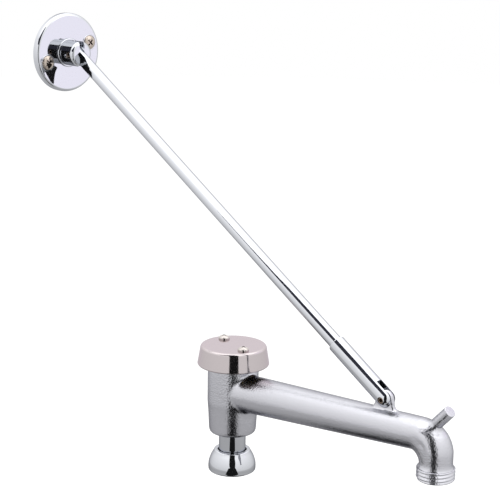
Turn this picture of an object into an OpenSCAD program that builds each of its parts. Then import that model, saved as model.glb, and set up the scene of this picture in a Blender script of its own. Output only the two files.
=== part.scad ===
// Bucket hook spout for a service sink tap.
// A cast spout with a vacuum breaker stands on a coupling nut. A peg on its elbow holds
// a bucket, and a brace with a hinged wall flange takes the bucket's weight.
// Millimetres. Origin: middle of the coupling nut's bottom face, on the inlet axis.
// +Z is up and +X runs from the inlet to the outlet.

/* [Spout casting] */
// Distance from the inlet axis to the outlet axis
reach = 198; // [170:1:240]
// Upward slope of the arm in degrees
rise = 5; // [2:0.5:8]
// Diameter of the body beside the arm
body_d = 39.2; // [38.6:0.2:42]
// Diameter of the body just above its foot
foot_d = 36.4; // [34:0.2:38]
// Height of the body from its foot to the gasket
body_h = 56.7; // [55:0.1:62]
// Height of the arm's axis above the foot, on the inlet axis
arm_h = 33.3; // [32.5:0.1:34]
// Diameter of the arm where its axis meets the inlet axis
arm_root_d = 29.6; // [28:0.2:30]
// Diameter of the arm at the elbow and of the neck below it
neck_d = 23.2; // [22:0.2:24]
// Bore of the waterway in the arm and the neck
water_d = 16; // [13:0.5:17]
// Height of the arm's axis at the elbow above the outlet's end
outlet_drop = 30; // [29:0.2:40]
// Outside diameter of the hose thread
hose_d = 26.8; // [26:0.1:28]
// Length of the hose thread
hose_len = 8.8; // [7:0.1:10]

/* [Bucket peg] */
// Diameter of the peg
peg_d = 8.5; // [6:0.1:10]
// Length of the peg from the arm's axis to its tip
peg_len = 30; // [24:0.2:40]
// Angle of the peg above level
peg_angle = 47; // [40:1:60]
// Distance along the arm from the outlet axis back to the peg's root
peg_back = 10.8; // [8:0.2:14]

/* [Breaker] */
// Bore of the float chamber
chamber_d = 30; // [29:0.1:31]
// Height of the float's seat above the foot
seat_h = 21.6; // [20:0.1:22]
// Diameter of the hole in the float's seat
seat_hole_d = 16.4; // [14:0.2:17]
// Travel of the float
float_travel = 4.6; // [3:0.1:6]
// Diameter of the float's upper disc
float_d = 24.8; // [24:0.1:26]
// Height of the float's upper disc above its seat
float_h = 18.5; // [16:0.1:19]
// Diameter of the float's stem
stem_d = 5; // [4:0.1:6]
// Thickness of the bonnet's flange
bonnet_t = 3; // [2.5:0.1:3.5]
// Outside diameter of the cap at its rim
cap_d = 55.6; // [54:0.2:58]
// Outside diameter of the cap at its top
cap_top_d = 50.4; // [48:0.2:53]
// Height of the cap
cap_h = 15.3; // [14.5:0.1:18]
// Thickness of the cap's metal
cap_wall = 1.6; // [1.2:0.1:2]
// Distance between the two cap screws
cap_screw_span = 33.2; // [32:0.1:33.4]
// Turn of the line of cap screws about the cap's axis
cap_screw_turn = -18; // [-90:1:90]
// Diameter of a cap screw's head
cap_head_d = 8.7; // [7:0.1:9]
// Diameter of a cap screw's shank
cap_shank_d = 4; // [3:0.1:4.4]

/* [Inlet] */
// Outside diameter of the tail tube
tube_d = 20.8; // [19.8:0.1:21.2]
// Bore of the tail tube
tube_bore = 16.6; // [14:0.1:17]
// Length of tube in sight between the nut and the foot
tube_show = 14.3; // [12:0.1:20]
// Depth of the socket in the foot that the tube screws into
socket_h = 13.5; // [12:0.1:14.5]
// Diameter of the coupling nut at its bottom
nut_d = 36.8; // [36:0.1:39]
// Diameter of the coupling nut at its top
nut_top_d = 28.4; // [27:0.1:29.5]
// Height of the coupling nut
nut_h = 17; // [16.5:0.1:20]
// Bore of the coupling nut's thread
nut_bore = 27.4; // [27:0.1:28]
// Thread left free for the tap below the washer
free_thread = 6; // [5:0.1:6.5]
// Thickness of the rubber washer
washer_t = 3; // [2.5:0.1:3.2]

/* [Brace] */
// Slope of the brace in degrees
brace_angle = 31.7; // [25:0.1:38]
// Length of the brace between its two pins
brace_len = 397.8; // [340:0.2:450]
// Distance from the inlet axis to the lug's pin
lug_x = 152; // [140:1:160]
// Height of the lug's pin above the arm's axis, square to the arm
lug_h = 19.5; // [19.5:0.1:22]
// Thickness of the lug
lug_t = 4.4; // [3.6:0.1:5]
// Diameter of the brace sleeve
sleeve_d = 13; // [12.6:0.1:14]
// Length of the brace sleeve above the lug's pin
sleeve_len = 55.8; // [50:0.2:70]
// Diameter of the brace rod
rod_d = 10.2; // [9.4:0.1:10.4]
// Length of rod inside the sleeve
rod_in = 31; // [28:0.5:32]
// Thickness of the rod's flat tang
tang_t = 4.4; // [3.6:0.1:5]
// Diameter of the roll pin through the lug
lug_pin_d = 4.8; // [4:0.1:5.2]
// Diameter of the roll pin through the wall post
post_pin_d = 4; // [3:0.1:4.4]

/* [Wall flange] */
// Diameter of the wall flange
flange_d = 64.4; // [62:0.2:76]
// Thickness of the wall flange
flange_t = 5.6; // [5:0.1:8]
// Diameter of the wall post
post_d = 20.8; // [20:0.1:23]
// Length of the post in front of the flange
post_len = 17.5; // [17:0.1:22]
// Distance from the post's pin to its front end
post_pin_set = 5.4; // [5:0.1:6]
// Diameter of the circle of the wall screws
screw_circle_d = 45.2; // [44:0.1:48]
// Turn of the line of wall screws about the post
screw_turn = 18; // [0:0.5:180]
// Diameter of a wall screw's head
screw_head_d = 11.8; // [10:0.1:12]
// Diameter of a wall screw's shank
screw_d = 5.4; // [4:0.1:6]
// Length of a wall screw below the flange's face
screw_len = 17; // [14:0.5:50]

/* [Fits] */
// Radial clearance of a pin that turns
run_gap = 0.06; // [0.03:0.01:0.09]
// Radial clearance of a screw in its hole
screw_gap = 0.15; // [0.1:0.01:0.2]
// Clearance on each side of a flat tongue in its slot
slot_gap = 0.25; // [0.15:0.01:0.35]
// Radial clearance between the nut and the tail tube
nut_gap = 0.7; // [0.4:0.05:0.9]

/* [Hidden] */
$fn = 64;
eps = 0.01;

// Heights up the inlet axis
slip_t = 1;
collar_t = 2.5;
washer_z = free_thread;
collar_z = washer_z + washer_t;
slip_z = collar_z + collar_t;
nut_roof_z = slip_z + slip_t;
thread_relief = 0.7;
foot_z = nut_h + tube_show;
seat_z = foot_z + seat_h;
arm_z = foot_z + arm_h;
body_top = foot_z + body_h;
gasket_t = 0.8;
bonnet_z = body_top + gasket_t;
cap_lap = 2;
cap_z = body_top - cap_lap;
cap_top = cap_z + cap_h;
post_top = cap_top - cap_wall;

// Arm, elbow and outlet
neck_r = neck_d / 2;
elbow_z = arm_z + reach * tan(rise);
outlet_z = elbow_z - outlet_drop;
// the elbow's core bends sharply, and a rounder outside corner is cut from it
elbow_bend = 6;
corner_bend = 12;
inner_bend = 7 + neck_r;
water_bend = 15;
bend_turn = 90 + rise;
hose_chamfer = 1.5;

// Float
float_disc_t = 2.5;
float_seal_t = 2.2;
float_foot_t = 3;
float_neck_d = 7;
float_foot_d = seat_hole_d + 3.6;
disc_z = seat_z + float_h;
seal_z = disc_z + float_disc_t;
bonnet_face_z = seal_z + float_seal_t + float_travel;
vent_d = 4.2;
vent_count = 6;
vent_circle_d = 15.2;
bonnet_floor_t = 3.6;

// Brace: each of its pieces is drawn along +X from the lug's pin
lug_r = 6.7;
lug_z = arm_z + lug_x * tan(rise) + lug_h / cos(rise);
slot_w = lug_t + 2 * slot_gap;
slot_depth = lug_r + 5.1;
rod_r = rod_d / 2;
rod_start = sleeve_len - rod_in;
bore_floor = slot_depth + 5.4;
post_slot_w = tang_t + 2 * slot_gap;

// Wall flange: drawn along +X from the wall
post_front = flange_t + post_len;
post_pin_x = post_front - post_pin_set;
wall_x = lug_x - brace_len * cos(brace_angle) - post_pin_x;
wall_z = lug_z + brace_len * sin(brace_angle);
head_t = 2.2;
head_d = post_d + 5.2;
head_room = 0.3;
ring_t = 1.4;
ring_d = post_d + 2.8;
screw_head_h = 3.2;
screw_dome = 1.9;

module ring(outer_d, inner_d, h) {
    difference() {
        cylinder(d = outer_d, h = h);
        translate([0, 0, -1]) cylinder(d = inner_d, h = h + 2);
    }
}

// A hollow pin rolled from spring steel, with its slit along one side
module roll_pin(d, len) {
    rotate([90, 0, 0]) difference() {
        cylinder(d = d, h = len, center = true);
        cylinder(d = d * 0.56, h = len + 1, center = true);
        translate([0, -d / 2, 0]) cube([d * 0.12, d, len + 1], center = true);
    }
}

// Points of an arc in a profile
function arc(x, y, r, a0, a1, steps) =
    [for (i = [0:steps]) [x + r * cos(a0 + (a1 - a0) * i / steps),
                          y + r * sin(a0 + (a1 - a0) * i / steps)]];

module along_arm(x) {
    translate([x, 0, arm_z + x * tan(rise)]) rotate([0, 90 - rise, 0]) children();
}

module at_cap_screw(side) {
    rotate(cap_screw_turn) translate([side * cap_screw_span / 2, 0, cap_top]) children();
}

module at_wall() { translate([wall_x, 0, wall_z]) children(); }

module at_wall_screw(side) {
    at_wall() rotate([side > 0 ? screw_turn : 180 + screw_turn, 0, 0])
        translate([0, screw_circle_d / 2, 0]) rotate([0, 90, 0]) children();
}

module along_brace() {
    translate([lug_x, 0, lug_z]) rotate([0, brace_angle - 180, 0]) children();
}

// Spout casting

module body_solid() {
    foot_round = 3;
    waist = body_h * 0.35;
    shoulder = body_h * 0.44;
    rotate_extrude($fn = 96) polygon(concat(
        [[0, foot_z]],
        arc(foot_d / 2 - foot_round, foot_z + foot_round, foot_round, -90, 0, 6),
        [[(foot_d + body_d) / 4 + 0.2, foot_z + waist],
         [body_d / 2, foot_z + shoulder], [body_d / 2, body_top], [0, body_top]]));
}

module elbow_sector(radius, bend) {
    line_z = arm_z + (reach - bend) * tan(rise);
    translate([reach - bend, 0, line_z - bend / cos(rise)]) rotate([90, 0, 0])
        rotate_extrude(angle = bend_turn, $fn = 72) intersection() {
            translate([bend, 0]) circle(r = radius, $fn = 48);
            translate([0, -radius]) square([bend + radius, 2 * radius]);
        }
}

// What the rounder outside corner takes off the elbow
module corner_waste() {
    r = neck_r + 0.2;
    line_z = arm_z + (reach - corner_bend) * tan(rise);
    translate([reach - corner_bend, 0, line_z - corner_bend / cos(rise)]) rotate([90, 0, 0])
        rotate_extrude(angle = bend_turn, $fn = 72) difference() {
            translate([0, -2 * neck_r]) square([corner_bend + 2 * neck_r, 4 * neck_r]);
            translate([corner_bend, 0]) circle(r = r, $fn = 48);
            translate([-1, -r]) square([corner_bend + 1, 2 * r]);
        }
}

// The arm tapers from the body to the start of the elbow
module arm_solid() {
    start = 8;
    bend_start = reach - elbow_bend * tan(bend_turn / 2) * cos(rise);
    start_d = arm_root_d - (arm_root_d - neck_d) * start / bend_start;
    along_arm(start) cylinder(d1 = start_d, d2 = neck_d, h = (bend_start - start) / cos(rise), $fn = 96);
}

module neck_solid() {
    bend_z = arm_z + (reach - elbow_bend) * tan(rise) - elbow_bend / cos(rise);
    translate([reach, 0, outlet_z + hose_len - 1]) cylinder(d = neck_d, h = bend_z - outlet_z - hose_len + 1, $fn = 96);
}

module hose_end() {
    translate([reach, 0, outlet_z]) rotate_extrude($fn = 96) polygon([
        [0, 0], [hose_d / 2 - hose_chamfer, 0], [hose_d / 2, hose_chamfer],
        [hose_d / 2, hose_len], [0, hose_len]]);
}

module peg() {
    tip_round = 0.5;
    root_flare = 2.4;
    flare_end = neck_r + 2.8;
    r = peg_d / 2;
    root_x = reach - peg_back * cos(rise);
    translate([root_x, 0, arm_z + root_x * tan(rise)]) rotate([0, 90 - peg_angle, 0])
        rotate_extrude($fn = 64) polygon(concat(
            [[0, neck_r / 2], [r + root_flare, neck_r / 2], [r, flare_end]],
            arc(r - tip_round, peg_len - tip_round, tip_round, 0, 90, 3),
            [[0, peg_len]]));
}

// A flat lug with a round top stands on the arm. It flares towards the inlet.
module lug() {
    depth = lug_h - neck_r + 3;
    translate([lug_x, 0, lug_z]) rotate([90, -rise, 0])
        linear_extrude(height = lug_t, center = true) union() {
            circle(r = lug_r, $fn = 64);
            polygon([[-lug_r, 1.5], [lug_r, 0], [lug_r + 1.5, -depth * 0.6],
                     [lug_r + 3.6, -depth], [-lug_r - 6.5, -depth],
                     [-lug_r - 4.8, -depth * 0.66], [-lug_r - 2.3, -depth * 0.22]]);
        }
}

module waterways() {
    water_r = water_d / 2;
    translate([0, 0, seat_z]) cylinder(d = chamber_d, h = body_top - seat_z + 1, $fn = 96);
    translate([0, 0, foot_z]) cylinder(d = seat_hole_d, h = seat_h + 1);
    translate([0, 0, foot_z - 1]) cylinder(d = tube_d, h = socket_h + 1, $fn = 96);
    bend_z = arm_z + (reach - water_bend) * tan(rise) - water_bend / cos(rise);
    bend_x = reach - water_bend * tan(bend_turn / 2) * cos(rise);
    along_arm(6) cylinder(d = water_d, h = (bend_x - 5) / cos(rise));
    // the bend is a little wider than the two bores that run into it
    elbow_sector(water_r + 0.2, water_bend);
    translate([reach, 0, outlet_z - 1]) cylinder(d = water_d, h = bend_z - outlet_z + 2);
}

module spout_casting() {
    color("lightgrey") difference() {
        union() {
            body_solid();
            difference() {
                union() {
                    arm_solid();
                    elbow_sector(neck_r - 0.05, elbow_bend);
                    elbow_sector(neck_r - 0.1, inner_bend);
                    neck_solid();
                }
                corner_waste();
            }
            hose_end();
            peg();
            lug();
        }
        waterways();
        translate([lug_x, 0, lug_z]) rotate([90, 0, 0])
            cylinder(d = lug_pin_d + 2 * run_gap, h = lug_t + 2, center = true, $fn = 48);
    }
}

// Vacuum breaker

module cap_outline(inset) {
    r1 = cap_d / 2 - inset;
    r2 = cap_top_d / 2 - inset;
    rim_round = inset > 0 ? 0 : 1.2;
    top_round = inset > 0 ? 1 : 2.2;
    lean = atan((cap_d - cap_top_d) / 2 / cap_h);
    polygon(concat(
        [[0, inset > 0 ? -1 : 0], [r1 - rim_round, inset > 0 ? -1 : 0]],
        rim_round > 0 ? arc(r1 - rim_round, rim_round, rim_round, -60, 0, 4) : [[r1, 0]],
        arc(r2 - top_round, cap_h - inset - top_round, top_round, lean, 90, 7),
        [[0, cap_h - inset]]));
}

module breaker_cap() {
    color("gainsboro") difference() {
        translate([0, 0, cap_z]) rotate_extrude($fn = 128) cap_outline(0);
        translate([0, 0, cap_z]) rotate_extrude($fn = 128) cap_outline(cap_wall);
        for (side = [-1, 1]) at_cap_screw(side)
            cylinder(d = cap_shank_d + 2 * screw_gap, h = 3 * cap_wall, center = true, $fn = 32);
    }
}

// Domed head with a cross recess
module cap_screw(side) {
    head_h = cap_head_d * 0.36;
    dome_r = (pow(cap_head_d / 2, 2) + head_h * head_h) / (2 * head_h);
    shank = cap_wall + 6;
    color("silver") at_cap_screw(side) difference() {
        union() {
            intersection() {
                translate([0, 0, head_h - dome_r]) sphere(r = dome_r, $fn = 64);
                cylinder(d = cap_head_d, h = head_h);
            }
            translate([0, 0, -shank]) cylinder(d = cap_shank_d, h = shank + 1, $fn = 32);
        }
        for (a = [0, 90]) rotate(a + 20) translate([0, 0, head_h])
            cube([cap_head_d * 0.5, 1.1, 2.4], center = true);
    }
}

module breaker_bonnet() {
    spigot_d = chamber_d - 2 * screw_gap;
    flange_rim = cap_screw_span + 8;
    pillar_d = 7;
    color("darkkhaki") difference() {
        union() {
            translate([0, 0, bonnet_z]) cylinder(d = flange_rim, h = bonnet_t, $fn = 96);
            translate([0, 0, bonnet_face_z])
                cylinder(d = spigot_d, h = bonnet_z - bonnet_face_z + 1, $fn = 96);
            for (side = [-1, 1]) rotate(cap_screw_turn)
                translate([side * cap_screw_span / 2, 0, bonnet_z])
                    cylinder(d = pillar_d, h = post_top - bonnet_z, $fn = 48);
        }
        translate([0, 0, bonnet_face_z + bonnet_floor_t])
            cylinder(d = spigot_d - 6, h = bonnet_z, $fn = 96);
        translate([0, 0, bonnet_face_z - 1]) cylinder(d = stem_d + 2 * run_gap, h = bonnet_z, $fn = 48);
        for (i = [0:vent_count - 1]) rotate(i * 360 / vent_count + 30)
            translate([vent_circle_d / 2, 0, bonnet_face_z - 1]) cylinder(d = vent_d, h = bonnet_floor_t + 2, $fn = 32);
        for (side = [-1, 1]) at_cap_screw(side)
            translate([0, 0, -cap_wall - 6.5]) cylinder(d = cap_shank_d + 0.04, h = 10, $fn = 32);
    }
}

module bonnet_gasket() {
    color("dimgrey") translate([0, 0, body_top]) ring(body_d - 0.8, chamber_d + 0.4, gasket_t, $fn = 96);
}

// A float with a foot on the water seat, a disc under the air vents and a guide stem
module float() {
    stem_top = bonnet_face_z + bonnet_floor_t + 1.5;
    color("tan") union() {
        translate([0, 0, seat_z]) cylinder(d = float_foot_d, h = float_foot_t, $fn = 64);
        translate([0, 0, seat_z]) cylinder(d = float_neck_d, h = disc_z - seat_z + 1, $fn = 48);
        translate([0, 0, disc_z]) cylinder(d = float_d, h = float_disc_t, $fn = 96);
        translate([0, 0, disc_z]) cylinder(d = stem_d, h = stem_top - disc_z, $fn = 48);
    }
}

module float_seal() {
    color("black") translate([0, 0, seal_z]) ring(float_d - 0.6, stem_d, float_seal_t, $fn = 96);
}

// Inlet union

module tailpiece() {
    color("gainsboro") difference() {
        union() {
            translate([0, 0, collar_z]) cylinder(d = tube_d, h = foot_z + socket_h - collar_z, $fn = 96);
            translate([0, 0, collar_z]) cylinder(d = nut_bore - 0.8, h = collar_t, $fn = 96);
        }
        translate([0, 0, collar_z - 1]) cylinder(d = tube_bore, h = foot_z + socket_h, $fn = 64);
    }
}

module tail_washer() {
    color("black") translate([0, 0, washer_z]) ring(nut_bore - 0.8, tube_bore, washer_t, $fn = 96);
}

module slip_ring() {
    color("goldenrod") translate([0, 0, slip_z]) ring(nut_bore - 0.8, tube_d + 2 * nut_gap, slip_t, $fn = 96);
}

// A bell-shaped nut: its side leans in and curves over to a flat top
module coupling_nut() {
    rim_round = 1.5;
    top_round = 1.2;
    bulge = 5.5;
    r1 = nut_d / 2;
    r2 = nut_top_d / 2;
    side = [for (i = [1:9]) let (t = i / 10) [r1 + (r2 - r1) * t + bulge * t * (1 - t),
        rim_round + (nut_h - rim_round - top_round) * t]];
    color("gainsboro") difference() {
        rotate_extrude($fn = 128) polygon(concat(
            [[0, 0]], arc(r1 - rim_round, rim_round, rim_round, -90, 0, 5), side,
            arc(r2 - top_round, nut_h - top_round, top_round, 10, 90, 5), [[0, nut_h]]));
        translate([0, 0, -1]) cylinder(d = nut_bore, h = nut_roof_z, $fn = 96);
        translate([0, 0, free_thread])
            cylinder(d = nut_bore + thread_relief, h = nut_roof_z - free_thread, $fn = 96);
        cylinder(d = tube_d + 2 * nut_gap, h = nut_h + 1, $fn = 96);
    }
}

// Brace

// A turned sleeve with a ball end about the pin, slotted over the lug
module brace_sleeve() {
    edge = 0.7;
    r = sleeve_d / 2;
    color("gainsboro") along_brace() difference() {
        rotate([0, 90, 0]) rotate_extrude($fn = 96) polygon(concat(
            arc(0, 0, r, -90, 0, 14),
            [[r, sleeve_len - edge], [r - edge, sleeve_len], [0, sleeve_len]]));
        translate([slot_depth / 2 - r, 0, 0])
            cube([slot_depth + 2 * r, slot_w, sleeve_d + 2], center = true);
        translate([bore_floor, 0, 0]) rotate([0, 90, 0])
            cylinder(r = rod_r + run_gap, h = sleeve_len, $fn = 96);
        rotate([90, 0, 0]) cylinder(d = lug_pin_d, h = sleeve_d + 2, center = true, $fn = 48);
    }
}

module lug_pin() {
    color("dimgrey") along_brace() roll_pin(lug_pin_d, sleeve_d - 1.6, $fn = 48);
}

// A round rod with a flat tang, rounded about the post's pin
module brace_rod() {
    flat_end = post_pin_set + 5.4;
    taper_end = flat_end + 14;
    color("gainsboro") along_brace() difference() {
        intersection() {
            translate([rod_start, 0, 0]) rotate([0, 90, 0])
                cylinder(r = rod_r, h = brace_len - rod_start + rod_r, $fn = 96);
            union() {
                translate([brace_len, 0, 0]) rotate([90, 0, 0])
                    cylinder(r = rod_r, h = rod_d + 2, center = true, $fn = 96);
                translate([rod_start - 1, -rod_d, -rod_d])
                    cube([brace_len - rod_start + 1, 2 * rod_d, 2 * rod_d]);
            }
        }
        for (s = [-1, 1]) scale([1, s, 1])
            linear_extrude(height = 2 * rod_d, center = true) polygon([
                [brace_len - taper_end, rod_r + eps], [brace_len - flat_end, tang_t / 2],
                [brace_len + rod_d, tang_t / 2], [brace_len + rod_d, rod_d], [brace_len - taper_end, rod_d]]);
        translate([brace_len, 0, 0]) rotate([90, 0, 0])
            cylinder(d = post_pin_d + 2 * run_gap, h = rod_d, center = true, $fn = 48);
    }
}

// Wall end of the brace

module post_pin() {
    pin_len = 2 * sqrt(pow(post_d / 2, 2) - pow(post_pin_d / 2, 2)) - 0.8;
    color("dimgrey") at_wall() translate([post_pin_x, 0, 0]) roll_pin(post_pin_d, pin_len, $fn = 48);
}

// A stout round post: head behind the flange, slot and domed edge in front
module wall_post() {
    r = post_d / 2;
    nose = 3;
    slot_floor = post_pin_x - rod_r - 0.8;
    color("gainsboro") at_wall() difference() {
        rotate([0, 90, 0]) rotate_extrude($fn = 96) polygon(concat(
            [[0, head_room], [head_d / 2, head_room], [head_d / 2, head_room + head_t],
             [r, head_room + head_t]],
            arc(r - nose, post_front - nose, nose, 0, 80, 8),
            [[0, post_front]]));
        translate([slot_floor, -post_slot_w / 2, -post_d]) cube([post_d, post_slot_w, 2 * post_d]);
        translate([post_pin_x, 0, 0]) rotate([90, 0, 0])
            cylinder(d = post_pin_d, h = post_d + 2, center = true, $fn = 48);
    }
}

// A raised ring pressed on the post keeps the flange against the post's head
module post_ring() {
    round_r = 0.7;
    color("gainsboro") at_wall() translate([flange_t, 0, 0]) rotate([0, 90, 0]) difference() {
        rotate_extrude($fn = 96) polygon(concat(
            [[0, 0], [ring_d / 2, 0]],
            arc(ring_d / 2 - round_r, ring_t - round_r, round_r, 0, 90, 4),
            [[0, ring_t]]));
        translate([0, 0, -1]) cylinder(d = post_d, h = ring_t + 2, $fn = 96);
    }
}

module wall_flange() {
    edge_r = 2.6;
    recess = head_room + head_t;
    color("gainsboro") difference() {
        at_wall() rotate([0, 90, 0]) difference() {
            rotate_extrude($fn = 128) polygon(concat(
                [[0, 0], [flange_d / 2, 0]],
                arc(flange_d / 2 - edge_r, flange_t - edge_r, edge_r, 0, 90, 8),
                [[0, flange_t]]));
            translate([0, 0, -1]) cylinder(d = post_d + 2 * run_gap, h = flange_t + 2, $fn = 96);
            translate([0, 0, -1]) cylinder(d = head_d + 0.4, h = recess + 1, $fn = 96);
        }
        for (side = [-1, 1]) at_wall_screw(side) {
            translate([0, 0, -1]) cylinder(d = screw_d + 2 * screw_gap, h = flange_t + 2, $fn = 48);
            translate([0, 0, flange_t - screw_head_h])
                cylinder(d1 = screw_d + 2 * screw_gap, d2 = screw_head_d + 0.1, h = screw_head_h + eps, $fn = 64);
        }
    }
}

// Oval countersunk head with a cross recess, and a shank that goes into the wall
module wall_screw(side) {
    r = screw_head_d / 2;
    dome_r = (r * r + screw_dome * screw_dome) / (2 * screw_dome);
    point = 5;
    neck = screw_d - 0.8;
    color("rosybrown") at_wall_screw(side) translate([0, 0, flange_t]) difference() {
        union() {
            intersection() {
                translate([0, 0, screw_dome - dome_r]) sphere(r = dome_r, $fn = 64);
                cylinder(r = r, h = screw_dome);
            }
            translate([0, 0, -screw_head_h]) cylinder(d1 = neck, d2 = screw_head_d, h = screw_head_h, $fn = 64);
            translate([0, 0, -flange_t - 1]) cylinder(d = neck, h = flange_t, $fn = 48);
            translate([0, 0, point - screw_len]) cylinder(d = screw_d, h = screw_len - point - flange_t, $fn = 48);
            translate([0, 0, -screw_len]) cylinder(d1 = 1, d2 = screw_d, h = point, $fn = 48);
        }
        for (a = [0, 90]) rotate(a + 30) translate([0, 0, screw_dome])
            cube([screw_head_d * 0.52, 1.5, 3.2], center = true);
    }
}

spout_casting();
breaker_cap();
cap_screw(-1);  // cap_screw_1
cap_screw(1);  // cap_screw_2
breaker_bonnet();
bonnet_gasket();
float();
float_seal();
tailpiece();
tail_washer();
slip_ring();
coupling_nut();
brace_sleeve();
lug_pin();
brace_rod();
post_pin();
wall_post();
post_ring();
wall_flange();
wall_screw(-1);  // wall_screw_1
wall_screw(1);  // wall_screw_2
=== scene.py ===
import math

import bmesh
import bpy
from mathutils import Matrix, Vector


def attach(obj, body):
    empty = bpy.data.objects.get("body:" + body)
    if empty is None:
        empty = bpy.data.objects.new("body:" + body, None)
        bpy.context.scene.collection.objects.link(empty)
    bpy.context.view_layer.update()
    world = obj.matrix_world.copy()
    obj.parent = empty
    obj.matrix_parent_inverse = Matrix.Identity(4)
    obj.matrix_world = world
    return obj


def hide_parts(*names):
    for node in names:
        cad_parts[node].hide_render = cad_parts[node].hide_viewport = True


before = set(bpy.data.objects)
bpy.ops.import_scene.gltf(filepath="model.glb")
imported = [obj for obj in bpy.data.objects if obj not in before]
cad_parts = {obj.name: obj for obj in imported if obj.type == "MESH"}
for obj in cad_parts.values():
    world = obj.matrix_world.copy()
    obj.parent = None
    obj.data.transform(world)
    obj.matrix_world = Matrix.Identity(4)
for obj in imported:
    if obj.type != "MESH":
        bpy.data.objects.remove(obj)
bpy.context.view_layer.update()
MM = 0.001

# Sizes in millimetres, the same as the part's
RISE = math.radians(5)
REACH, ARM_Z, ELBOW_Z, OUTLET_Z = 198.0, 64.6, 81.9228, 51.9228
HOSE_R, HOSE_LEN, WATER_R, HOSE_PITCH = 13.4, 8.8, 8.0, 2.54
PEG_R, PEG_LEN, PEG_BACK, PEG_ANGLE = 4.25, 30.0, 10.8, math.radians(47)
PEG_AXIS = Vector((math.cos(PEG_ANGLE), 0, math.sin(PEG_ANGLE)))
PEG_ROOT = Vector((REACH - PEG_BACK * math.cos(RISE), 0, ELBOW_Z - PEG_BACK * math.sin(RISE)))
LUG = Vector((152.0, 0.0, 97.4728))
BRACE_ANGLE = math.radians(31.7)
BRACE_LEN = 397.8
SLEEVE_R, SLEEVE_LEN, SLOT_W, SLOT_END, BORE_FLOOR = 6.5, 55.8, 4.9, 11.8, 17.2
ROD_R, TANG_T, ROD_START = 5.1, 4.4, 24.8
WALL = Vector((-204.1527, 0.0, 306.5054))
FLANGE_R, FLANGE_T, POST_R, POST_FRONT, POST_PIN_X = 32.199, 5.6, 10.4, 23.1, 17.7
SCREW_TURN, SCREW_CIRCLE_R = 18.0, 22.6
SLIP = 0.002  # between faces that turn on each other, so that rounding doesn't make them cross
LUG_HOLE_R, POST_HOLE_R, TANG_HOLE_R = 2.42, 2.02, 2.06
LUG_PIN_R, LUG_PIN_HALF, POST_PIN_R, POST_PIN_HALF = 2.4, 5.7, 2.0, 9.8
CAP_Z, CAP_H, CAP_R, CAP_TOP_R, CAP_WALL = 86.0, 15.3, 27.8, 25.2, 1.6
CAP_SCREW_R, CAP_SCREW_TURN = 16.6, -18
CAP_HEAD = (4.35, 2.9, 0.7)  # a screw head's radius, height and upright side
WALL_HEAD = (5.7, 1.9, 0.1)
NUT_FOOT_R, NUT_TOP_R, NUT_H, NUT_HOLE_R, NUT_ROOF_Z = 18.4, 14.2, 17.0, 11.1, 12.5
THREAD_R, THREAD_LEN, RELIEF_R = 13.7, 6.0, 14.05
TUBE_R, TUBE_BORE_R, TUBE_FOOT, TUBE_TOP, COLLAR_R, COLLAR_TOP = 10.4, 8.3, 9.0, 44.8, 13.3, 11.5

ALONG = Vector((-math.cos(BRACE_ANGLE), 0, math.sin(BRACE_ANGLE)))
BRACE = Matrix.Translation(LUG) @ Matrix((ALONG, (0, 1, 0), ALONG.cross((0, 1, 0)))).transposed().to_4x4()
POST = Matrix.Translation(WALL)
POST_PIN = POST @ Matrix.Translation((POST_PIN_X, 0, 0))
UP_X = Matrix(((0, 0, 1), (0, 1, 0), (-1, 0, 0))).to_4x4()  # turns a lathe's axis from Z to X


# Meshes

def new_object(name, mesh):
    """Links a new object, as the only one that is selected and the active one."""
    obj = bpy.data.objects.new(name, mesh)
    bpy.context.scene.collection.objects.link(obj)
    bpy.ops.object.select_all(action="DESELECT")
    bpy.context.view_layer.objects.active = obj
    obj.select_set(True)
    return obj


def drawn(name, points, edges, faces=()):
    """A new object in edit mode, all selected, with an outline that an operator then works on."""
    mesh = bpy.data.meshes.new(name)
    mesh.from_pydata(points, edges, faces)
    obj = new_object(name, mesh)
    bpy.ops.object.mode_set(mode="EDIT")
    bpy.ops.mesh.select_all(action="SELECT")
    return obj


def finish_mesh(obj, place, angle):
    """Merges and cleans what an operator left, and puts the mesh in its place, in metres."""
    bpy.ops.mesh.select_all(action="SELECT")
    bpy.ops.mesh.remove_doubles(threshold=1e-4)
    bpy.ops.mesh.delete_loose(use_verts=True, use_edges=True, use_faces=False)
    bpy.ops.mesh.select_all(action="SELECT")
    bpy.ops.mesh.normals_make_consistent(inside=False)
    bpy.ops.object.mode_set(mode="OBJECT")
    obj.data.transform(Matrix.Scale(MM, 4) @ place)
    smooth(obj, angle)
    return obj


def piece(name, bm, angle=32):
    """A smooth-shaded object from a bmesh in millimetres, with edges over angle kept sharp."""
    bmesh.ops.remove_doubles(bm, verts=bm.verts, dist=1e-4)
    bmesh.ops.recalc_face_normals(bm, faces=bm.faces)
    bmesh.ops.scale(bm, vec=(MM, MM, MM), verts=bm.verts)
    mesh = bpy.data.meshes.new(name)
    bm.to_mesh(mesh)
    bm.free()
    obj = new_object(name, mesh)
    smooth(obj, angle)
    return obj


def smooth(obj, angle=32):
    """Smooth shading that keeps the edges over angle sharp."""
    obj.data.shade_smooth()
    obj.data.set_sharp_from_angle(angle=math.radians(angle))


def apply_modifiers(obj):
    """Replaces the mesh with what the modifiers make of it."""
    graph = bpy.context.evaluated_depsgraph_get()
    graph.update()
    mesh = bpy.data.meshes.new_from_object(obj.evaluated_get(graph))
    old = obj.data
    obj.modifiers.clear()
    obj.data = mesh
    bpy.data.meshes.remove(old)


def cut(obj, tools, operation="DIFFERENCE", angle=32):
    """Cuts or intersects obj with each tool, and removes the tools."""
    for tool in tools:
        mod = obj.modifiers.new("cut", "BOOLEAN")
        mod.operation, mod.object, mod.solver = operation, tool, "EXACT"
    apply_modifiers(obj)
    for tool in tools:
        bpy.data.objects.remove(tool)
    smooth(obj, angle)
    return obj


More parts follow.
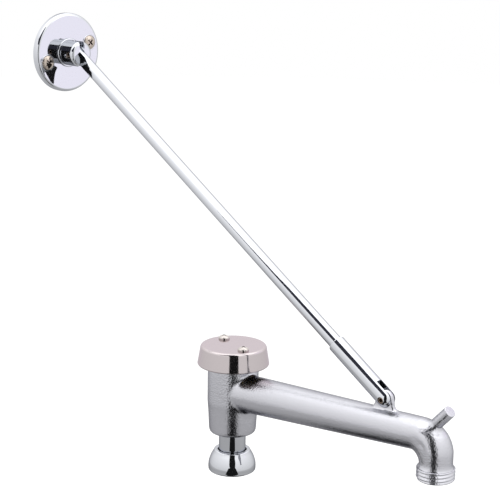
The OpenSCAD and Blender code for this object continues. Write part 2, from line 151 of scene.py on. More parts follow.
def soften(obj, width, segments=3, angle=38):
    """Rounds every edge sharper than angle by a small width in millimetres."""
    mod = obj.modifiers.new("bevel", "BEVEL")
    mod.width, mod.segments, mod.limit_method = width * MM, segments, "ANGLE"
    mod.angle_limit = math.radians(angle)
    mod.use_clamp_overlap = True
    apply_modifiers(obj)
    smooth(obj, 40)
    return obj


def rounded(points, steps=7):
    """A closed outline from (r, z, radius) corners: each corner with a radius becomes an arc."""
    out = []
    count = len(points)
    for i, (x, y, radius) in enumerate(points):
        p = Vector((x, y))
        if radius <= 0:
            out.append((x, y))
            continue
        a = (Vector(points[i - 1][:2]) - p).normalized()
        b = (Vector(points[(i + 1) % count][:2]) - p).normalized()
        half = a.angle(b) / 2
        reach = radius / math.tan(half)
        centre = p + (a + b).normalized() * (radius / math.sin(half))
        start, end = p + a * reach - centre, p + b * reach - centre
        turn = start.angle_signed(end)
        for k in range(steps + 1):
            v = start.copy()
            v.rotate(Matrix.Rotation(-turn * k / steps, 2))
            out.append(tuple(centre + v))
    return out


def lathe(name, outline, place=Matrix(), segments=128, angle=32):
    """Spins a closed (r, z) outline about place's Z axis."""
    points = [(r, 0.0, z) for r, z in outline]
    edges = [(i, (i + 1) % len(points)) for i in range(len(points))]
    obj = drawn(name, points, edges)
    bpy.ops.mesh.spin(steps=segments, angle=2 * math.pi, center=(0, 0, 0), axis=(0, 0, 1))
    return finish_mesh(obj, place, angle)


def prism(name, outline, half, place=Matrix()):
    """An (x, z) outline extruded to half on both sides of Y."""
    points = [(x, -half, z) for x, z in outline]
    obj = drawn(name, points, [], [range(len(points))])
    bpy.ops.mesh.extrude_region_move(TRANSFORM_OT_translate={"value": (0, 2 * half, 0)})
    return finish_mesh(obj, place, 32)


def rod_along_y(name, radius, half, place):
    """A round bar along Y, which cuts the pin holes."""
    turns = [2 * math.pi * k / 64 for k in range(64)]
    return prism(name, [(radius * math.cos(a), radius * math.sin(a)) for a in turns], half, place)


def stadium(radius, length):
    """An outline with a half round about the origin and a wide flat end at length, along +X."""
    turns = [math.pi * k / 40 for k in range(41)]
    half_round = [(-radius * math.sin(a), radius * math.cos(a)) for a in turns]
    return [(length, -radius - 1), (length, radius + 1), (0, radius + 1)] + half_round + [(0, -radius - 1)]


# Materials

def colour(code):
    """An sRGB hex code as a linear colour."""
    def linear(c):
        return c / 12.92 if c <= 0.04045 else ((c + 0.055) / 1.055) ** 2.4
    return tuple(linear(int(code[i:i + 2], 16) / 255) for i in (1, 3, 5)) + (1.0,)


def add(tree, kind, inputs=None, **settings):
    """A new node with its settings, and its inputs set to values or linked to sockets."""
    node = tree.nodes.new(kind)
    for key, value in settings.items():
        setattr(node, key, value)
    for key, value in (inputs or {}).items():
        if isinstance(value, bpy.types.NodeSocket):
            tree.links.new(value, node.inputs[key])
        else:
            node.inputs[key].default_value = value
    return node


def empty_material(name):
    """A new material whose node tree is empty."""
    mat = bpy.data.materials.new(name)
    mat.use_nodes = True
    mat.node_tree.nodes.clear()
    return mat, mat.node_tree


def shader(name):
    """A new material with its tree, its Principled shader and its object coordinates."""
    mat, tree = empty_material(name)
    out = add(tree, "ShaderNodeOutputMaterial")
    main = add(tree, "ShaderNodeBsdfPrincipled")
    tree.links.new(main.outputs[0], out.inputs["Surface"])
    where = add(tree, "ShaderNodeTexCoord").outputs["Object"]
    return mat, tree, main, where


def ramp(tree, factor, stops):
    """A colour that follows factor through (place, tint) stops."""
    node = add(tree, "ShaderNodeValToRGB", {"Fac": factor})
    band = node.color_ramp.elements
    band[0].position, band[0].color = stops[0]
    band[1].position, band[1].color = stops[-1]
    for place, tint in stops[1:-1]:
        band.new(place).color = tint
    return node.outputs["Color"]


def level(tree, value, low, high, from_low=0.0, from_high=1.0):
    """A value moved from one range to the range low to high."""
    node = add(tree, "ShaderNodeMapRange", {"Value": value, "From Min": from_low, "From Max": from_high,
                                            "To Min": low, "To Max": high})
    return node.outputs["Result"]


def cast_chrome():
    """Satin plate over a sand casting: a soft mirror, whose fine grain frays dark reflections."""
    mat, tree, main, where = shader("cast_chrome")
    grain = add(tree, "ShaderNodeTexNoise", {"Vector": where, "Scale": 820.0, "Detail": 2.0,
                                             "Roughness": 0.6})
    lumps = add(tree, "ShaderNodeTexNoise", {"Vector": where, "Scale": 170.0, "Detail": 2.0})
    main.inputs["Base Color"].default_value = colour("#C9C9CF")
    main.inputs["Metallic"].default_value = 1.0
    main.inputs["Specular Tint"].default_value = colour("#B4B4B8")
    tree.links.new(level(tree, lumps.outputs["Fac"], 0.12, 0.20, 0.3, 0.7), main.inputs["Roughness"])
    first = add(tree, "ShaderNodeBump", {"Height": lumps.outputs["Fac"], "Strength": 0.07,
                                         "Distance": 0.0010})
    second = add(tree, "ShaderNodeBump", {"Height": grain.outputs["Fac"], "Strength": 0.60,
                                          "Distance": 0.00037, "Normal": first.outputs["Normal"]})
    tree.links.new(second.outputs["Normal"], main.inputs["Normal"])
    return mat


def bright_plate(name, code, roughness, wave=0.06, edge="#B4B4B8"):
    """A near mirror, with the faint waviness that buffing leaves and an uneven haze."""
    mat, tree, main, where = shader(name)
    swell = add(tree, "ShaderNodeTexNoise", {"Vector": where, "Scale": 90.0, "Detail": 1.0})
    haze = add(tree, "ShaderNodeTexNoise", {"Vector": where, "Scale": 420.0, "Detail": 3.0})
    main.inputs["Base Color"].default_value = colour(code)
    main.inputs["Metallic"].default_value = 1.0
    main.inputs["Specular Tint"].default_value = colour(edge)
    rough = level(tree, haze.outputs["Fac"], roughness * 0.7, roughness * 1.4, 0.3, 0.7)
    tree.links.new(rough, main.inputs["Roughness"])
    bump = add(tree, "ShaderNodeBump", {"Height": swell.outputs["Fac"], "Strength": wave,
                                        "Distance": 0.0010})
    tree.links.new(bump.outputs["Normal"], main.inputs["Normal"])
    return mat


def plain(name, code, metallic, roughness, scale, depth):
    """One colour that a fine grain darkens in places, with the same grain in its gloss and relief."""
    mat, tree, main, where = shader(name)
    grain = add(tree, "ShaderNodeTexNoise", {"Vector": where, "Scale": scale, "Detail": 3.0})
    dark = tuple(c * 0.82 for c in colour(code)[:3]) + (1.0,)
    tint = ramp(tree, grain.outputs["Fac"], [(0.3, dark), (0.7, colour(code))])
    tree.links.new(tint, main.inputs["Base Color"])
    main.inputs["Metallic"].default_value = metallic
    rough = level(tree, grain.outputs["Fac"], roughness * 0.8, roughness * 1.2, 0.3, 0.7)
    tree.links.new(rough, main.inputs["Roughness"])
    bump = add(tree, "ShaderNodeBump", {"Height": grain.outputs["Fac"], "Strength": 0.25,
                                        "Distance": depth})
    tree.links.new(bump.outputs["Normal"], main.inputs["Normal"])
    return mat


def polished_chrome():
    """Buffed chrome plate: cool, with crisp dark and white reflections."""
    return bright_plate("polished_chrome", "#CED0D5", 0.05)


def cap_chrome():
    """The cap's plate: faintly pink, a little hazier, and still pale where it is seen edge-on."""
    return bright_plate("cap_chrome", "#C2BABB", 0.09, 0.03, "#EFE8EE")


def cap_screw_nickel():
    """Nickel plate: a warm white that ends in one soft highlight."""
    return plain("cap_screw_nickel", "#C9C2BE", 1.0, 0.14, 900.0, 0.00003)


def wall_screw_nickel():
    """Older nickel plate: browner than the cap's screws, as bright."""
    return plain("wall_screw_nickel", "#C3B7AC", 1.0, 0.14, 900.0, 0.00003)


def raw_brass():
    """Turned brass, darkened to a dim yellow metal as painted shade for the dark under the cap, where it is
    only seen in reflections.
    """
    return plain("raw_brass", "#9C8858", 1.0, 0.3, 700.0, 0.0001)


def grey_fibre():
    """Pressed fibre: grey, with no gloss and a rough face."""
    return plain("grey_fibre", "#5A5B5E", 0.0, 0.8, 1200.0, 0.0002)


def white_acetal():
    """Moulded plastic: off-white, with a broad weak highlight."""
    return plain("white_acetal", "#DCD9CF", 0.0, 0.45, 500.0, 0.0001)


def black_rubber():
    """Rubber: nearly black, and matt."""
    return plain("black_rubber", "#1C1C1D", 0.0, 0.7, 900.0, 0.0001)


def spring_steel():
    """Rolled spring steel: a dark brownish metal with a blurred shine."""
    return plain("spring_steel", "#86766A", 1.0, 0.35, 900.0, 0.0001)


def recess_painted_shade():
    """The cross of a screw, dark brown against the bright head: painted shade for the dark inside of the
    recess.
    """
    return plain("recess_painted_shade", "#4A4038", 1.0, 0.45, 900.0, 0.0001)


CAST = cast_chrome()
POLISHED = polished_chrome()
CAP_METAL = cap_chrome()
CAP_SCREW = cap_screw_nickel()
WALL_SCREW = wall_screw_nickel()
SHADED_BRASS = raw_brass()
FIBRE = grey_fibre()
ACETAL = white_acetal()
RUBBER = black_rubber()
PIN_STEEL = spring_steel()
RECESS_PAINTED_SHADE = recess_painted_shade()


def dress(obj, material, body, slot, *nodes):
    """Gives a finished piece its material, body and the CAD nodes that it replaces; slot is not used."""
    if obj.name != "casting":
        mod = obj.modifiers.new("normals", "WEIGHTED_NORMAL")
        mod.mode, mod.weight, mod.keep_sharp = "FACE_AREA", 50, True
        apply_modifiers(obj)
    obj.data.materials.clear()
    obj.data.materials.append(material)
    if nodes:
        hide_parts(*nodes)
    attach(obj, body)
    return obj


# Spout casting: the solid is melted together, so that its corners fill in as in a sand casting

def relax(bm, verts, rounds):
    """Moves every vertex half way to the middle of its neighbours, some rounds over."""
    for _ in range(rounds):
        bmesh.ops.smooth_vert(bm, verts=verts, factor=0.5,
                              use_axis_x=True, use_axis_y=True, use_axis_z=True)


def blend_corners(bm):
    """Smooths where the arm, lug, peg and neck grow out of each other, more than elsewhere."""
    def near(v):
        x, y, z = (c / MM for c in v.co)
        arm_top = ARM_Z + x * math.tan(RISE) + 13.0
        if 14 < x < 26 and abs(y) < 17 and 44 < z < 84:
            return True
        if 136 < x < 168 and abs(z - arm_top) < 4.5:
            return True
        if 182 < x < 204 and 86 < z < 97:
            return True
        return x > 184 and 60.9 < z < 66
    relax(bm, bm.verts, 6)
    relax(bm, [v for v in bm.verts if near(v)], 14)
    root = (PEG_ROOT + 12 * PEG_AXIS) * MM
    relax(bm, [v for v in bm.verts if (v.co - root).length < 11 * MM], 18)


def casting():
    """The casting, melted and smoothed, and slimmer where the peg and the collar cover it."""
    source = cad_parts["spout_casting"]
    bm = bmesh.new()
    bm.from_mesh(source.data)
    bmesh.ops.remove_doubles(bm, verts=bm.verts, dist=1e-7)
    mesh = bpy.data.meshes.new("casting")
    bm.to_mesh(mesh)
    bm.free()
    obj = new_object("casting", mesh)
    mod = obj.modifiers.new("melt", "REMESH")
    mod.mode, mod.voxel_size = "VOXEL", 0.8 * MM
    apply_modifiers(obj)
    bm = bmesh.new()
    bm.from_mesh(obj.data)
    blend_corners(bm)
    under_collar = 11.9
    for v in bm.verts:
        x, y, z = (c / MM for c in v.co)
        r = math.hypot(x - REACH, y)
        if z < OUTLET_Z + HOSE_LEN - 0.6 and 11.5 < r < 15:
            v.co.x = (REACH + (x - REACH) * under_collar / r) * MM
            v.co.y = y * under_collar / r * MM
        if z < OUTLET_Z + 1 and r < 15:
            v.co.z += 0.4 * MM
        along = (v.co / MM - PEG_ROOT).dot(PEG_AXIS)
        off = v.co / MM - PEG_ROOT - along * PEG_AXIS
        if along > 15.0 and off.length < 6:
            shrink = 1 - 0.25 * min(1.0, (along - 15.0) / 1.5)
            v.co = (PEG_ROOT + min(along, PEG_LEN - 1.2) * PEG_AXIS + shrink * off) * MM
    bm.to_mesh(obj.data)
    bm.free()
    obj.data.shade_smooth()
    return dress(obj, CAST, "spout", "cast_chrome", "spout_casting")


def peg():
    """The peg's turned length, past its cast root."""
    turn = Matrix.Translation(PEG_ROOT) @ Matrix.Rotation(math.pi / 2 - PEG_ANGLE, 4, "Y")
    r = PEG_R
    outline = rounded([(0, 14.8, 0), (r, 14.8, 0), (r, PEG_LEN, 0.5), (0, PEG_LEN, 0)], 6)
    return dress(lathe("peg", outline, turn, 96), CAST, "spout", "cast_chrome")


def hose_thread():
    """The outlet's collar, with one rounded thread that runs round it: no operator draws it."""
    root, rows, segments = HOSE_R - 0.95, 110, 144
    turns = [2 * math.pi * k / segments for k in range(segments)]
    bm = bmesh.new()
    grid = []
    for i in range(rows + 1):
        h = HOSE_LEN * i / rows
        ring = []
        for k, turn in enumerate(turns):
            u = (h / HOSE_PITCH - k / segments + 0.07) % 1.0
            wave = 0.5 - 0.5 * math.cos(math.pi * (u / 0.3 if u < 0.3 else (1 - u) / 0.7))
            end = min(1.0, h / 1.7, (HOSE_LEN - h) / 0.6)
            top = max(0.0, min(1.0, (h - HOSE_LEN + 0.9) / 0.5))
            r = root + (HOSE_R - root) * max(wave, top)
            r -= (1.3 if h < 2 else 0.8) * (1 - math.sqrt(max(0.0, 1 - (1 - end) ** 2)))
            ring.append(bm.verts.new((REACH + r * math.cos(turn), r * math.sin(turn), OUTLET_Z + h)))
        grid.append(ring)
    bore = WATER_R - 0.03
    for r, h in ((10.2, HOSE_LEN), (10.2, 4.0), (bore, 4.0), (bore, 0.7), (WATER_R + 0.2, 0.2),
                 (WATER_R + 0.7, 0.0)):
        grid.append([bm.verts.new((REACH + r * math.cos(a), r * math.sin(a), OUTLET_Z + h))
                     for a in turns])
    for a, b in zip(grid, grid[1:] + grid[:1]):
        for k in range(segments):
            n = (k + 1) % segments
            bm.faces.new((a[k], a[n], b[n], b[k]))
    return dress(piece("hose_thread", bm, 50), CAST, "spout", "cast_chrome")


# Breaker cap and its screws

def screw_head(name, size, spread, place, recess_turn):
    """A domed head over a short upright side, with a cross recess whose walls lean in."""
    radius, height, side = size
    outline = [(0.0, height)]
    for k in range(1, 21):
        a = math.pi / 2 * (1 - k / 20)
        outline.append((radius * math.cos(a), side + (height - side) * math.sin(a)))
    outline += [(radius, -0.02), (0.0, -0.02)]
    head = lathe(name, outline, place, 96, 40)
    width, depth, arm = radius * 0.12, height * 0.9, radius * spread
    tools = []
    for turn in (0, math.pi / 2):
        turned = place @ Matrix.Rotation(turn + recess_turn, 4, "Z")
        bm = bmesh.new()
        rows = []
        for z, half_length, half_width in ((height + 0.5, arm * 1.1, width * 1.15),
                                           (height - depth, arm * 0.45, width * 0.75)):
            rows.append([bm.verts.new(turned @ Vector((sx * half_length, sy * half_width, z)))
                         for sx, sy in ((-1, -1), (1, -1), (1, 1), (-1, 1))])
        bm.faces.new(rows[0][::-1])
        bm.faces.new(rows[1])
        for i in range(4):
            bm.faces.new((rows[0][i], rows[0][(i + 1) % 4], rows[1][(i + 1) % 4], rows[1][i]))
        tools.append(piece(name + "_cutter", bm))
    return cut(head, tools, angle=40)


def paint_recess_shade(head, size, place):
    """Gives the recess's faces the darker material: painted shade inside the cross, where little light gets
    in.
    """
    radius, height, side = size
    head.data.materials.append(RECESS_PAINTED_SHADE)
    back = place.inverted()
    for face in head.data.polygons:
        x, y, z = back @ (face.center / MM)
        r = math.hypot(x, y) / radius
        dome = side + (height - side) * math.sqrt(max(0.0, 1 - r * r))
        if r < 0.9 and z < dome - 0.08:
            face.material_index = 1


def breaker():
    """The cap, with its outside and inside in one outline, and its two screw heads."""
    place, t = Matrix.Translation((0, 0, CAP_Z)), CAP_WALL
    outline = rounded([(0, CAP_H, 0), (CAP_TOP_R, CAP_H, 2.2), (CAP_R, 0.0, 1.1), (CAP_R - t, 0.0, 0.4),
                       (CAP_TOP_R - t, CAP_H - t, 1.2), (0, CAP_H - t, 0)], 10)
    dress(lathe("cap", outline, place, 160), CAP_METAL, "spout", "polished_chrome", "breaker_cap")
    top = Matrix.Translation((0, 0, CAP_Z + CAP_H)) @ Matrix.Rotation(math.radians(CAP_SCREW_TURN), 4, "Z")
    for i, side in enumerate((-1, 1), 1):
        spot = top @ Matrix.Translation((side * CAP_SCREW_R, 0, 0))
        head = screw_head(f"cap_screw_head_{i}", CAP_HEAD, 0.52, spot, 0.4 + i)
        dress(head, CAP_SCREW, "spout", "cap_screw_nickel")
        paint_recess_shade(head, CAP_HEAD, spot)


# Inlet

def corner_arc(r, z, radius, turns):
    """Points on an arc about (r, z), at turns in degrees."""
    return [(r + radius * math.cos(math.radians(a)), z + radius * math.sin(math.radians(a)))
            for a in turns]


def inlet():
    """The bell-shaped nut, whose side bulges between its foot and its top, and the tail tube."""
    foot_round, top_round, bulge = 1.5, 1.2, 5.5
    foot = corner_arc(NUT_FOOT_R - foot_round, foot_round, foot_round, [-90 + 10 * k for k in range(10)])
    side = []
    for k in range(1, 18):
        t = k / 18
        side.append((NUT_FOOT_R + (NUT_TOP_R - NUT_FOOT_R) * t + bulge * t * (1 - t),
                     foot_round + (NUT_H - foot_round - top_round) * t))
    crown = corner_arc(NUT_TOP_R - top_round, NUT_H - top_round, top_round,
                       [12 + 78 * k / 8 for k in range(9)])
    inside = [(NUT_HOLE_R + 0.4, NUT_H), (NUT_HOLE_R, NUT_H - 0.4), (NUT_HOLE_R, NUT_ROOF_Z),
              (RELIEF_R, NUT_ROOF_Z), (RELIEF_R, THREAD_LEN), (THREAD_R, THREAD_LEN)]
    outline = [(THREAD_R, 0.5), (THREAD_R + 0.5, 0.0)] + foot + side + crown + inside
    dress(lathe("nut", outline, Matrix(), 160), POLISHED, "nut", "polished_chrome", "coupling_nut")
    tube = rounded([(TUBE_BORE_R, TUBE_FOOT, 0), (COLLAR_R, TUBE_FOOT, 0.2), (COLLAR_R, COLLAR_TOP, 0.2),
                    (TUBE_R, COLLAR_TOP, 0), (TUBE_R, TUBE_TOP, 0), (TUBE_BORE_R, TUBE_TOP, 0)], 4)
    dress(lathe("tail_tube", tube, Matrix(), 128), POLISHED, "spout", "polished_chrome", "tailpiece")


# Brace

def sleeve():
    """The sleeve over the lug: a ball end with a slot, a pin hole and the rod's bore."""
    r, bore = SLEEVE_R, ROD_R + 0.06
    ball = corner_arc(0, 0, r, [-90 + 4.5 * k for k in range(21)])
    mouth = rounded([(r, SLEEVE_LEN, 0.7), (bore, SLEEVE_LEN, 0.3), (bore, BORE_FLOOR, 0),
                     (0, BORE_FLOOR, 0), (r, 0.5, 0)], 5)
    outline = [(0, -r)] + ball[1:] + mouth[:-1]
    body = lathe("sleeve", outline, BRACE @ UP_X, 128)
    turned = BRACE @ Matrix.Rotation(math.pi / 2, 4, "X")
    half = SLOT_W / 2
    slot = [(-2 * r, -half), (SLOT_END, -half), (SLOT_END, half), (-2 * r, half)]
    cut(body, [prism("slot", slot, r + 2, turned), rod_along_y("hole", LUG_HOLE_R, r + 2, BRACE)])
    soften(body, 0.28, 3)
    return dress(body, POLISHED, "sleeve", "polished_chrome", "brace_sleeve")


def rod():
    """The rod, with a flat tang at its upper end that is rounded about its pin hole."""
    r, end = ROD_R, BRACE_LEN
    side = [(r, ROD_START + (end + r - ROD_START) * k / 40) for k in range(1, 40)]
    outline = [(0, ROD_START), (r, ROD_START)] + side + [(r, end + r), (0, end + r)]
    body = lathe("rod", outline, BRACE @ UP_X, 96)
    flat_end, taper_end = end - 10.8, end - 24.8
    tools = []
    for s in (-1, 1):
        shape = [(taper_end, s * (r + 0.01)), (flat_end, s * TANG_T / 2), (end + 2 * r, s * TANG_T / 2),
                 (end + 2 * r, s * 2 * r), (taper_end, s * 2 * r)]
        tools.append(prism("flat", shape, 2 * r, BRACE @ Matrix.Rotation(math.pi / 2, 4, "X")))
    cut(body, tools)
    flip = BRACE @ Matrix.Translation((end, 0, 0)) @ Matrix.Rotation(math.pi, 4, "Y")
    cut(body, [prism("end", stadium(r, end), r + 2, flip)], "INTERSECT")
    cut(body, [rod_along_y("hole", TANG_HOLE_R, r + 2, BRACE @ Matrix.Translation((end, 0, 0)))])
    soften(body, 0.2, 2)
    return dress(body, POLISHED, "rod", "polished_chrome", "brace_rod")


def roll_pin(name, radius, half, place, slit_at, body, node):
    """A rolled pin: an open C of spring steel with chamfered ends."""
    inner, gap, steps = radius * 0.56, 0.16, 44
    angles = [slit_at + gap + (2 * math.pi - 2 * gap) * k / steps for k in range(steps + 1)]
    bm = bmesh.new()
    rings = []
    for y, out in ((-half, radius * 0.9), (-half + 0.35, radius),
                   (half - 0.35, radius), (half, radius * 0.9)):
        rings.append([bm.verts.new(place @ Vector((q * math.cos(a), y, q * math.sin(a))))
                      for q, angs in ((out, angles), (inner, angles[::-1])) for a in angs])
    count = len(rings[0])
    for a, b in zip(rings, rings[1:]):
        for i in range(count):
            j = (i + 1) % count
            bm.faces.new((a[i], a[j], b[j], b[i]))
    for ring in (rings[0], rings[-1]):
        for k in range(steps):
            bm.faces.new((ring[k], ring[k + 1], ring[count - 2 - k], ring[count - 1 - k]))
    return dress(piece(name, bm), PIN_STEEL, body, "spring_steel", node)


# Wall end

def wall_end():
    """The flange with the post, its ring and the two wall screws' heads in their seats."""
    axis = POST @ UP_X
    flange = rounded([(POST_R + 0.06, 2.5, 0), (13.2, 2.5, 0), (13.2, 0.0, 0.2), (FLANGE_R, 0.0, 0.4),
                      (FLANGE_R, FLANGE_T, 2.6), (POST_R + 0.06, FLANGE_T, 0)], 12)
    dress(lathe("flange", flange, axis, 192), POLISHED, "flange", "polished_chrome", "wall_flange")
    ring_r, ring_top = 11.8, FLANGE_T + 1.4
    ring = rounded([(POST_R, FLANGE_T, 0), (ring_r, FLANGE_T, 0), (ring_r, ring_top, 0.7),
                    (POST_R, ring_top, 0)], 8)
    dress(lathe("ring", ring, axis, 128), POLISHED, "post", "polished_chrome", "post_ring")
    side = rounded([(0, 0.3, 0), (13.0, 0.3, 0.3), (13.0, 2.5 - SLIP, 0), (POST_R, 2.5 - SLIP, 0),
                    (POST_R, POST_FRONT, 3.0), (0, POST_FRONT, 0)], 10)
    post = lathe("post", side, axis, 128)
    half = SLOT_W / 2
    floor_x = POST_PIN_X - ROD_R - 0.8
    turns = [math.pi * k / 20 for k in range(21)]
    arc = [(floor_x + half - half * math.sin(a), half * math.cos(a)) for a in turns]
    outline = [(POST_FRONT + 2, half)] + arc + [(POST_FRONT + 2, -half)]
    slot = prism("slot", outline, 14, POST @ Matrix.Rotation(math.pi / 2, 4, "X"))
    cut(post, [slot, rod_along_y("hole", POST_HOLE_R, 14, POST_PIN)])
    soften(post, 0.3, 3)
    dress(post, POLISHED, "post", "polished_chrome", "wall_post")
    for i, turn in enumerate((180 + SCREW_TURN, SCREW_TURN), 1):
        turned = POST @ Matrix.Rotation(math.radians(turn), 4, "X")
        spot = turned @ Matrix.Translation((FLANGE_T, SCREW_CIRCLE_R, 0)) @ UP_X
        head = screw_head(f"wall_screw_head_{i}", WALL_HEAD, 0.60, spot, 0.5)
        dress(head, WALL_SCREW, "flange", "wall_screw_nickel")
        paint_recess_shade(head, WALL_HEAD, spot)
        lip = rounded([(5.7, -0.02, 0), (6.9, -0.02, 0.1), (6.6, 0.4, 0.2), (5.9, 0.4, 0.2)], 5)
        dress(lathe(f"screw_seat_{i}", lip, spot, 96), POLISHED, "flange", "polished_chrome")


casting()
peg()
hose_thread()
breaker()
inlet()
sleeve()
rod()
roll_pin("sleeve_pin", LUG_PIN_R, LUG_PIN_HALF, BRACE, math.radians(200), "sleeve", "lug_pin")
roll_pin("tang_pin", POST_PIN_R, POST_PIN_HALF, POST_PIN, math.radians(120), "post", "post_pin")
wall_end()

finishes = {"breaker_bonnet": SHADED_BRASS, "bonnet_gasket": FIBRE, "float": ACETAL, "float_seal": RUBBER,
            "tail_washer": RUBBER, "slip_ring": SHADED_BRASS, "cap_screw_1": CAP_SCREW, "cap_screw_2": CAP_SCREW,
            "wall_screw_1": WALL_SCREW, "wall_screw_2": WALL_SCREW}
for name, material in finishes.items():
    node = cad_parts[name]
    for holder in node.material_slots:
        holder.material = material

# Camera: the one that the photograph's outlines fit

CAMERA_PLACE = (0.776597, -0.761334, 0.442414)
view = bpy.data.cameras.new("camera")
view.lens, view.sensor_width = 107.08, 36.0
camera = bpy.data.objects.new("camera", view)
bpy.context.scene.collection.objects.link(camera)
right = Vector((0.70465336, 0.70937658, 0.01576436))
above = Vector((-0.17968169, 0.15690404, 0.9711311))
back = right.cross(above)
turned = Matrix((right, above, back)).transposed().to_4x4()
camera.matrix_world = Matrix.Translation(CAMERA_PLACE) @ turned
bpy.context.scene.camera = camera


# Studio: sizes in metres

TENT_R, SHADE_R, FLOOR_R = 2.5, 0.6, 6.0
TABLE_Z, FLOOR_Z = -0.118, -0.45
# How brightly the shade glows, at metres from its middle
SHADE = [(0.0, 0.24), (0.09, 0.41), (0.2, 0.58), (0.35, 0.54), (0.6, 0.74)]
# How brightly the tent glows, at the sine of its elevation
TENT = [(-1.0, 0.80), (-0.41, 0.82), (-0.17, 0.90), (0.0, 1.0),
        (0.26, 1.13), (0.47, 1.24), (0.70, 1.50), (0.87, 2.0), (1.0, 2.0)]
CARD_BLACK = "#1C1C1D"


def disc(name, radius, place):
    """A flat round studio piece."""
    bpy.ops.mesh.primitive_circle_add(vertices=96, radius=radius, fill_type="NGON", location=place)
    obj = bpy.context.object
    obj.name = name
    return obj


def lamp(name, place, aim, size, power):
    """A square white lamp that lights pieces but isn't seen in them."""
    data = bpy.data.lights.new(name, "AREA")
    data.shape, data.size, data.energy = "SQUARE", size, power
    obj = bpy.data.objects.new(name, data)
    obj.location = place
    obj.rotation_euler = (Vector(aim) - Vector(place)).to_track_quat("-Z", "Y").to_euler()
    obj.visible_glossy = False
    bpy.context.scene.collection.objects.link(obj)


def unlit(name, obj, build):
    """Gives a studio piece that only reflections see its glow: build returns colour and strength."""
    mat, tree = empty_material(name)
    tint, strength = build(tree)
    glow = add(tree, "ShaderNodeEmission", {"Color": tint, "Strength": strength})
    add(tree, "ShaderNodeOutputMaterial", {"Surface": glow.outputs[0]})
    obj.data.materials.append(mat)
    obj.visible_camera = obj.visible_diffuse = obj.visible_shadow = obj.visible_transmission = False


def card(name, corners, code, strength=1.0):
    """A flat studio card through the given corners in metres."""
    mesh = bpy.data.meshes.new(name)
    mesh.from_pydata(corners, [], [range(len(corners))])
    unlit(name, new_object(name, mesh), lambda tree: (colour(code), strength))


def facing(outline, distance):
    """Turns (sideways, z) points into corners of an upright card, at a distance in front of the nut."""
    k = math.sqrt(0.5)
    return [(k * (distance + a), k * (a - distance), z) for a, z in outline]


def flat_facing(outline):
    """Turns (sideways, away) points into corners on the table, in front of the nut."""
    return [facing([(a, TABLE_Z)], away)[0] for a, away in outline]


def seen_in_flange(outline, reach):
    """Turns (y, z) points in mm on the flange's face into corners of a card just in front of it, on the
    lines from the camera's mirror image, so that the card paints a reflection onto those points.
    """
    face_x = (WALL.x + FLANGE_T) * MM
    mirrored = Vector(CAMERA_PLACE)
    mirrored.x = 2 * face_x - mirrored.x
    corners = []
    for y, z in outline:
        spot = Vector((face_x, y * MM, (WALL.z + z) * MM))
        corners.append(spot + (spot - mirrored).normalized() * reach)
    return corners


def tent():
    """A pale light tent, brighter overhead and grey near the floor."""
    bpy.ops.mesh.primitive_uv_sphere_add(segments=64, ring_count=48, radius=TENT_R)
    obj = bpy.context.object
    obj.name = "tent"
    obj.data.shade_smooth()

    def build(tree):
        where = add(tree, "ShaderNodeTexCoord").outputs["Object"]
        height = add(tree, "ShaderNodeSeparateXYZ", {0: where}).outputs["Z"]
        share = level(tree, height, 0.0, 1.0, -TENT_R, TENT_R)
        tone = ramp(tree, share, [((1 + up) / 2, (v / 2, v / 2, v / 2, 1.0)) for up, v in TENT])
        return tone, 2.0
    unlit("tent", obj, build)


def shade_disc():
    """The shade on the table round the foot: dark at its middle and pale at its rim."""
    obj = disc("shade_disc", SHADE_R, (0.02, -0.05, -0.12))

    def build(tree):
        where = add(tree, "ShaderNodeTexCoord").outputs["Object"]
        out = add(tree, "ShaderNodeVectorMath", {0: where}, operation="LENGTH").outputs["Value"]
        share = level(tree, out, 0.0, 1.0, 0.0, SHADE_R)
        tone = ramp(tree, share, [(r / SHADE_R, (v, v, v, 1.0)) for r, v in SHADE])
        return tone, 1.0
    unlit("shade_disc", obj, build)


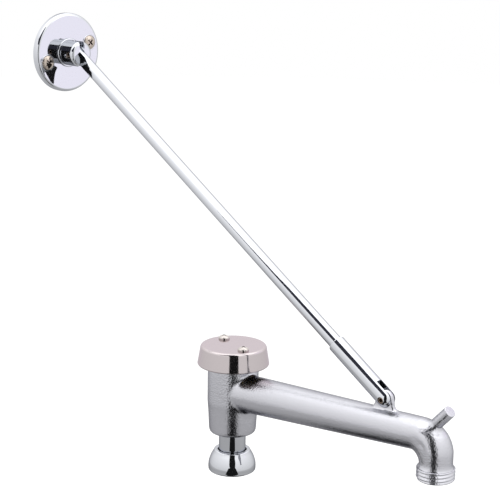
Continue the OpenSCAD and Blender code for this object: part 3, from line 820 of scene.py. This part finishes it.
def studio():
    """A white world, a pale floor, two lamps, and the tent and cards that the plate reflects."""
    world = bpy.data.worlds.new("studio")
    bpy.context.scene.world = world
    world.use_nodes = True
    tree = world.node_tree
    tree.nodes.clear()
    path = add(tree, "ShaderNodeLightPath").outputs
    seen = add(tree, "ShaderNodeMath", {0: path["Is Camera Ray"], 1: path["Is Glossy Ray"]},
               operation="MAXIMUM")
    seen = add(tree, "ShaderNodeMath", {0: seen.outputs[0], 1: path["Is Transmission Ray"]},
               operation="MAXIMUM")
    strength = level(tree, seen.outputs[0], 0.55, 1.0)
    shade = add(tree, "ShaderNodeBackground", {"Color": (1, 1, 1, 1), "Strength": strength})
    add(tree, "ShaderNodeOutputWorld", {"Surface": shade.outputs[0]})

    floor = disc("floor", FLOOR_R, (0, 0, FLOOR_Z))
    mat, tree = empty_material("floor")
    path = add(tree, "ShaderNodeLightPath").outputs
    pale = add(tree, "ShaderNodeBsdfDiffuse", {"Color": colour("#F4F4F4")})
    strength = level(tree, path["Is Camera Ray"], 0.0, 0.55)
    lift = add(tree, "ShaderNodeEmission", {"Color": (1, 1, 1, 1), "Strength": strength})
    both = add(tree, "ShaderNodeAddShader", {0: pale.outputs[0], 1: lift.outputs[0]})
    add(tree, "ShaderNodeOutputMaterial", {"Surface": both.outputs[0]})
    floor.data.materials.append(mat)
    floor.visible_glossy = False

    lamp("key", (-0.9, -1.3, 1.5), (0, 0, 0.1), 1.0, 9)
    lamp("top", (0.3, 0.5, 1.7), (0, 0, 0.1), 1.2, 8)
    tent()
    shade_disc()
    card("lens_slit", facing([(-0.14, TABLE_Z), (0.17, TABLE_Z), (0.15, -0.06), (0.125, -0.03), (0.12, 0.05),
                              (0.125, 0.10), (0.14, 0.20), (0.14, 0.50), (0.12, 0.75), (-0.10, 0.75),
                              (-0.12, 0.50), (-0.10, 0.20), (-0.09, 0.10), (-0.07, 0.05), (-0.08, -0.03),
                              (-0.12, -0.06)], 0.42), CARD_BLACK)
    card("slit_foot", facing([(-0.055, -0.05), (0.06, -0.05), (0.03, 0.012), (-0.025, 0.012)], 0.10),
         CARD_BLACK)
    strip = flat_facing([(-0.06, 0.12), (0.07, 0.12), (0.02, 0.20), (0.01, 0.33), (0.17, 0.42),
                         (-0.14, 0.42), (-0.11, 0.33), (-0.08, 0.20)])
    card("slit_on_table", strip, CARD_BLACK)
    card("high_flag", facing([(-0.45, 0.50), (-0.25, 0.46), (-0.04, 0.42), (0.06, 0.60), (0.08, 0.90),
                              (0.0, 1.12), (-0.20, 1.12), (-0.38, 0.85), (-0.54, 0.78), (-0.70, 0.83),
                              (-0.74, 0.75), (-0.58, 0.62)], 0.40), "#3C3C46")
    # A dark grey card on the table under the arm: the object's painted shadow there, which the chrome
    # reflects.
    card("under_arm_shadow", [(-0.02, -0.06, -0.119), (0.12, -0.06, -0.119),
                       (0.12, 0.06, -0.119), (-0.02, 0.06, -0.119)], "#303032")
    card("softbox", [(0.08, 0.35, 0.16), (0.30, 0.20, 0.16), (0.30, 0.20, 0.38), (0.08, 0.35, 0.38)],
         "#F9F5FE", 1.35)
    card("softbox_high", [(0.08, 0.35, 0.42), (0.30, 0.20, 0.42), (0.30, 0.20, 0.85), (0.08, 0.35, 0.85)],
         "#FFFFFF", 2.1)
    # A black card that paints a dark reflection onto these points of the flange's face.
    card("flange_painted_reflection", seen_in_flange([(-28.8, -5.5), (-25, -13.3), (-21.5, -19), (-17.5, -25.5),
                                        (-15.8, -24.2), (-15.3, -20), (-14, -15), (-12, -11.5),
                                        (-16, -9)], 0.010), CARD_BLACK)


studio()

bpy.context.scene.view_settings.view_transform = "Standard"
